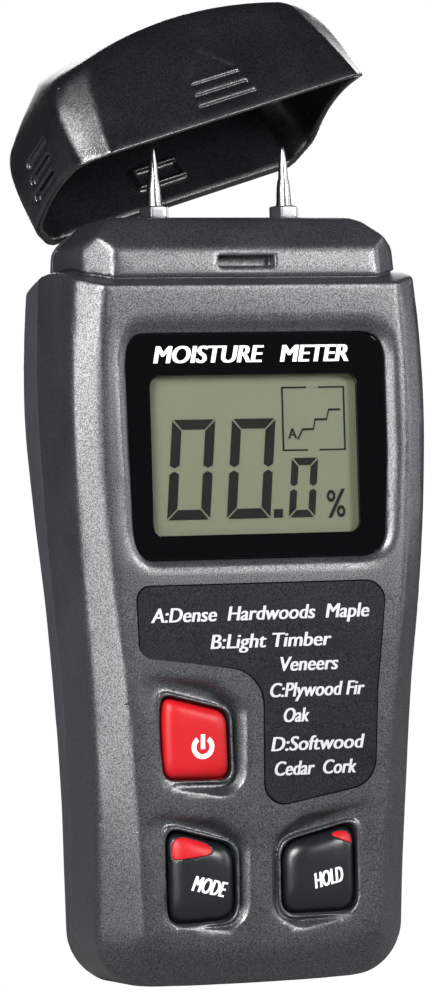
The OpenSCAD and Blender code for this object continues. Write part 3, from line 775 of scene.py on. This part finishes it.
LOOKS = {
    "front_shell": look("front_shell_look", (0.018, 0.019, 0.022), 0.34, 0.2, 0.012, 0.35,
                        sparkle=0.5, specular=1.0),
    "rear_shell": look("rear_shell_look", (0.03, 0.033, 0.038), 0.5, 0.3, 0.006, 0.12),
    "cap": look("cap_look", (0.0035, 0.004, 0.005), 0.28, 0.22, 0.01, 0.3, sparkle=0.5, specular=0.85),
    "cover_window": look("window_look", (0.0016, 0.0017, 0.0019), 0.05, 0.5, 0.0, 0.1, specular=0.3,
                         rough_spread=0.02),
    "lcd": look("lcd_look", (0.112, 0.123, 0.08), 0.4, 0.6, 0.0, 0.015, specular=0.3),
    "white_plastic": look("white_plastic_look", (0.8, 0.8, 0.78), 0.45),
    "zebra_rubber": look("zebra_look", (0.75, 0.45, 0.5), 0.7),
    "label": look("label_look", (0.008, 0.009, 0.011), 0.55, 0.2, 0.006, 0.5, specular=0.15, sparkle=0.4),
    "board": look("board_look", (0.02, 0.14, 0.06), 0.3),
    "chip": look("chip_look", (0.015, 0.015, 0.016), 0.5),
    "components": look("components_look", (0.5, 0.4, 0.28), 0.4),
    "steel": look("steel_look", (0.34, 0.34, 0.35), 0.27, 0.25, 0.002, 0.06, metal=1.0),
    "clear_film": look("film_look", (0.82, 0.8, 0.72), 0.4),
    "red_key": look("red_key_look", (0.38, 0.005, 0.009), 0.42, 0.3, 0.003, 0.06, specular=0.3),
    "black_key": look("black_key_look", (0.006, 0.0065, 0.008), 0.3, 0.3, 0.003, 0.15),
    "brass": look("brass_look", (0.7, 0.55, 0.25), 0.28, metal=1.0),
    "red_wire": look("red_wire_look", (0.6, 0.03, 0.03), 0.4),
    "black_wire": look("black_wire_look", (0.02, 0.02, 0.02), 0.4),
    "battery_case": look("battery_look", (0.12, 0.2, 0.33), 0.3, metal=0.4),
    "snap_plastic": look("snap_look", (0.02, 0.02, 0.02), 0.55),
    "foam": look("foam_look", (0.05, 0.05, 0.055), 0.95, 0.7, 0.2, 0.3),
    "black_screw": look("black_screw_look", (0.06, 0.06, 0.065), 0.35, metal=1.0)}
NUT_STEEL = look("nut_look", (0.24, 0.24, 0.25), 0.3, 0.25, 0.002, 0.06, metal=1.0)
GREY_INK = look("grey_ink_look", (0.42, 0.42, 0.43), 0.5, 0.3, 0.0, 0.03)
WHITE_INK = look("white_ink_look", (0.72, 0.72, 0.73), 0.5, 0.3, 0.0, 0.03)
DARK_INK = look("dark_ink_look", (0.006, 0.007, 0.006), 0.4, 0.4, 0.0, 0.1, specular=0.1)
# Near-black and barely shiny: painted shade that stands in for the dark inside of the groove round the label
GROOVE_SHADE = look("groove_look", (0.002, 0.002, 0.002), 0.8, 0.3, 0.0, 0.1, specular=0.05)
CLEAR = clear_look("clear_look")


def dress(obj, material, body, replaces=()):
    obj.data.materials.clear()
    obj.data.materials.append(material)
    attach(obj, body)
    if replaces:
        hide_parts(*replaces)
    return obj


# ---------------------------------------------------------------- putting it together

for node in nodes.values():
    slot_name = node.data.materials[0].name.split(".")[0]
    node.data.materials.clear()
    node.data.materials.append(LOOKS[slot_name])

dress(front_shell(), LOOKS["front_shell"], "meter", ["front_shell"])
dress(rear_shell(), LOOKS["rear_shell"], "meter", ["rear_shell"])
dress(battery_door(), LOOKS["rear_shell"], "door", ["battery_door"])
dress(cap(), LOOKS["cap"], "cap", ["cap_shell"])

power_grid, power_shape = key(POWER, POWER_FACE, -9.9, 1.9)
dress(surface("power_key_cap", power_grid, power_shape, 0.02), LOOKS["red_key"],
      "power_key", ["power_button"])
mode_cap, mode_inlay = lower_key("mode_key_cap", "mode_inlay", MODE, -1)
hold_cap, hold_inlay = lower_key("hold_key_cap", "hold_inlay", HOLD, 1)
dress(mode_cap, LOOKS["black_key"], "mode_key", ["mode_button"])
dress(mode_inlay, LOOKS["red_key"], "mode_key", ["mode_marker"])
dress(hold_cap, LOOKS["black_key"], "hold_key", ["hold_button"])
dress(hold_inlay, LOOKS["red_key"], "hold_key", ["hold_marker"])

dress(lathe("left_needle", PIN, -PIN_X, 0), LOOKS["steel"], "meter", ["left_pin"])
dress(lathe("right_needle", PIN, PIN_X, 0), LOOKS["steel"], "meter", ["right_pin"])
dress(nuts(), NUT_STEEL, "meter", ["pin_nuts"])

WINDOW_ROUND = [(x, z, 4.0) for x, z in WINDOW]
WINDOW_ROUND[2] = (*WINDOW[2], 30)
WINDOW_ROUND[5] = (*WINDOW[5], 30)
VIEW_ROUND = [(x, z, 1.7) for x, z in VIEW]
view_loop = rounded(VIEW_ROUND)
window_y = FRONT + WINDOW_SINK
dress(plate("window_print", [rounded(WINDOW_ROUND), view_loop], 0.8, at_depth(window_y + 0.4), 0.12),
      LOOKS["cover_window"], "meter", ["cover_window"])
dress(plate("window_pane", [view_loop], 0.3, at_depth(window_y + 0.25)), CLEAR, "meter")
dress(display_ink(), DARK_INK, "meter")
on_window = at_depth(window_y - 0.03)
title = [letters("word_1", "MOISTURE", -16.2, 95.95, 2.0, 2.75, 0.06, on_window, lean=0.2, bold=0.3),
         letters("word_2", "METER", 4.5, 95.95, 16.4, 2.75, 0.06, on_window, lean=0.2, bold=0.3)]
dress(join("title", title), WHITE_INK, "meter")

LABEL = [(-20.2, 61.8, 2.2), (20.6, 61.8, 3.2), (18.9, 45, 40), (18.5, 30.6, 4.6), (0.4, 27.2, 3.4),
         (0.3, 48.4, 6), (-19.8, 51, 2.4)]
label_slices = [26 + 1.5 * i for i in range(25)]
dress(plate("label_sheet", [rounded(LABEL)], 0.1, on_face(0.05), 0.02, label_slices),
      LOOKS["label"], "meter", ["front_label"])
# The groove round the label is not cut: a thin near-black sheet just outside the label's edge is painted shade
# in its place
rim = [(x + math.copysign(0.22, x - 1), z + math.copysign(0.22, z - 49.5), r) for x, z, r in LABEL]
dress(plate("label_groove_shade", [rounded(rim)], 0.06, on_face(0.0), 0.0, label_slices), GROOVE_SHADE, "meter")
lines = [letters(f"line_{i}", text, x0, z, x1, 2.3, 0.06, on_face(0.13), lean=0.18, bold=0.16)
         for i, (text, x0, z, x1) in enumerate(LABEL_LINES)]
dress(join("label_text", lines), GREY_INK, "meter")
sign = [plate(f"sign_{i}", [loop], 0.06, on_key(POWER_FACE, POWER))
        for i, loop in enumerate(power_sign(-10.0, 37.1))]
dress(join("power_sign", sign), WHITE_INK, "power_key")
dress(letters("mode_text", "MODE", -12.1, 15.2, -6.4, 2.5, 0.06, on_key(LOWER_FACE, MODE), 0.12, 0.2, -14),
      WHITE_INK, "mode_key")
dress(letters("hold_text", "HOLD", 8.3, 14.5, 13.4, 2.5, 0.06, on_key(LOWER_FACE, HOLD), 0.12, 0.2, 12),
      WHITE_INK, "hold_key")


# ---------------------------------------------------------------- studio

def stage_sheet(name, corners, tone):
    """A sheet of the studio: plain white to the camera, and of a given tone where it lights the meter."""
    obj = mesh_object(name, corners, [(0, 1, 2, 3)])
    mat = bpy.data.materials.new(name + "_look")
    mat.use_nodes = True
    tree = mat.node_tree
    paper = tree.nodes.new("ShaderNodeBsdfDiffuse")
    paper.inputs["Color"].default_value = (tone, tone, tone, 1)
    white = tree.nodes.new("ShaderNodeEmission")
    white.inputs["Strength"].default_value = WHITE_TO_CAMERA
    seen = tree.nodes.new("ShaderNodeLightPath")
    mix = tree.nodes.new("ShaderNodeMixShader")
    tree.links.new(seen.outputs["Is Camera Ray"], mix.inputs["Fac"])
    tree.links.new(paper.outputs[0], mix.inputs[1])
    tree.links.new(white.outputs[0], mix.inputs[2])
    tree.links.new(mix.outputs[0], tree.nodes["Material Output"].inputs["Surface"])
    obj.data.materials.append(mat)
    return obj


def softbox(name, at, size, power, colour=(1, 1, 1)):
    """A rectangular light at a place in mm, turned to the middle of the meter."""
    lamp = bpy.data.lights.new(name, "AREA")
    lamp.shape = "RECTANGLE"
    lamp.size, lamp.size_y = size[0] * MM, size[1] * MM
    lamp.energy = power
    lamp.color = colour
    obj = bpy.data.objects.new(name, lamp)
    bpy.context.scene.collection.objects.link(obj)
    obj.location = Vector(at) * MM
    aim = Vector((0, 0, 80)) - Vector(at)
    obj.rotation_euler = aim.to_track_quat("-Z", "Y").to_euler()
    return obj


WIDE = 3000
stage_sheet("floor", [(-WIDE, -WIDE, 0), (WIDE, -WIDE, 0), (WIDE, WIDE, 0), (-WIDE, WIDE, 0)], 0.3)
softbox("front_box", (600, -1070, 430), (380, 440), 6.5)
softbox("near_right_box", (330, -420, 230), (120, 200), 1.2)
softbox("left_box", (-900, -700, 190), (440, 860), 12)
softbox("left_high_box", (-640, -830, 640), (400, 400), 18)
softbox("right_box", (1050, -260, 200), (600, 900), 5, (0.93, 0.96, 1))
softbox("back_box", (520, 1250, 420), (1000, 700), 8)
low_box = softbox("left_low_box", (-210, -150, 3), (200, 200), 0.9)
low_box.rotation_euler = (math.pi, 0, 0)

# The world is white where the camera sees it, and lights the meter only faintly
world = bpy.data.worlds.new("studio")
world.use_nodes = True
world_nodes = world.node_tree.nodes
dim = world_nodes["Background"]
dim.inputs["Color"].default_value = (1, 1, 1, 1)
dim.inputs["Strength"].default_value = 0.05
white = world_nodes.new("ShaderNodeBackground")
white.inputs["Strength"].default_value = WHITE_TO_CAMERA
white.inputs["Color"].default_value = (1, 1, 1, 1)
world_seen = world_nodes.new("ShaderNodeLightPath")
world_mix = world_nodes.new("ShaderNodeMixShader")
world.node_tree.links.new(world_seen.outputs["Is Camera Ray"], world_mix.inputs["Fac"])
world.node_tree.links.new(dim.outputs[0], world_mix.inputs[1])
world.node_tree.links.new(white.outputs[0], world_mix.inputs[2])
world.node_tree.links.new(world_mix.outputs[0], world_nodes["World Output"].inputs["Surface"])
bpy.context.scene.world = world
bpy.context.scene.view_settings.view_transform = "Standard"

camera_data = bpy.data.cameras.new("camera")
camera = bpy.data.objects.new("camera", camera_data)
bpy.context.scene.collection.objects.link(camera)
bpy.context.scene.camera = camera
camera_data.sensor_width = 36
camera_data.lens = 179.66
camera_data.clip_start, camera_data.clip_end = 0.05, 20
yaw, pitch, roll = math.radians(-20), math.radians(-0.829), math.radians(-1.597)
toward = Vector((math.sin(yaw) * math.cos(pitch), -math.cos(yaw) * math.cos(pitch), math.sin(pitch)))
level = (-toward).cross(Vector((0, 0, 1))).normalized()
upright = level.cross(-toward)
across = level * math.cos(roll) + upright * math.sin(roll)
upright = upright * math.cos(roll) - level * math.sin(roll)
camera.matrix_world = Matrix.Translation(Vector((-266.33, -726.54, 64.47)) * MM) @ Matrix(
    (across, upright, toward)).transposed().to_4x4()
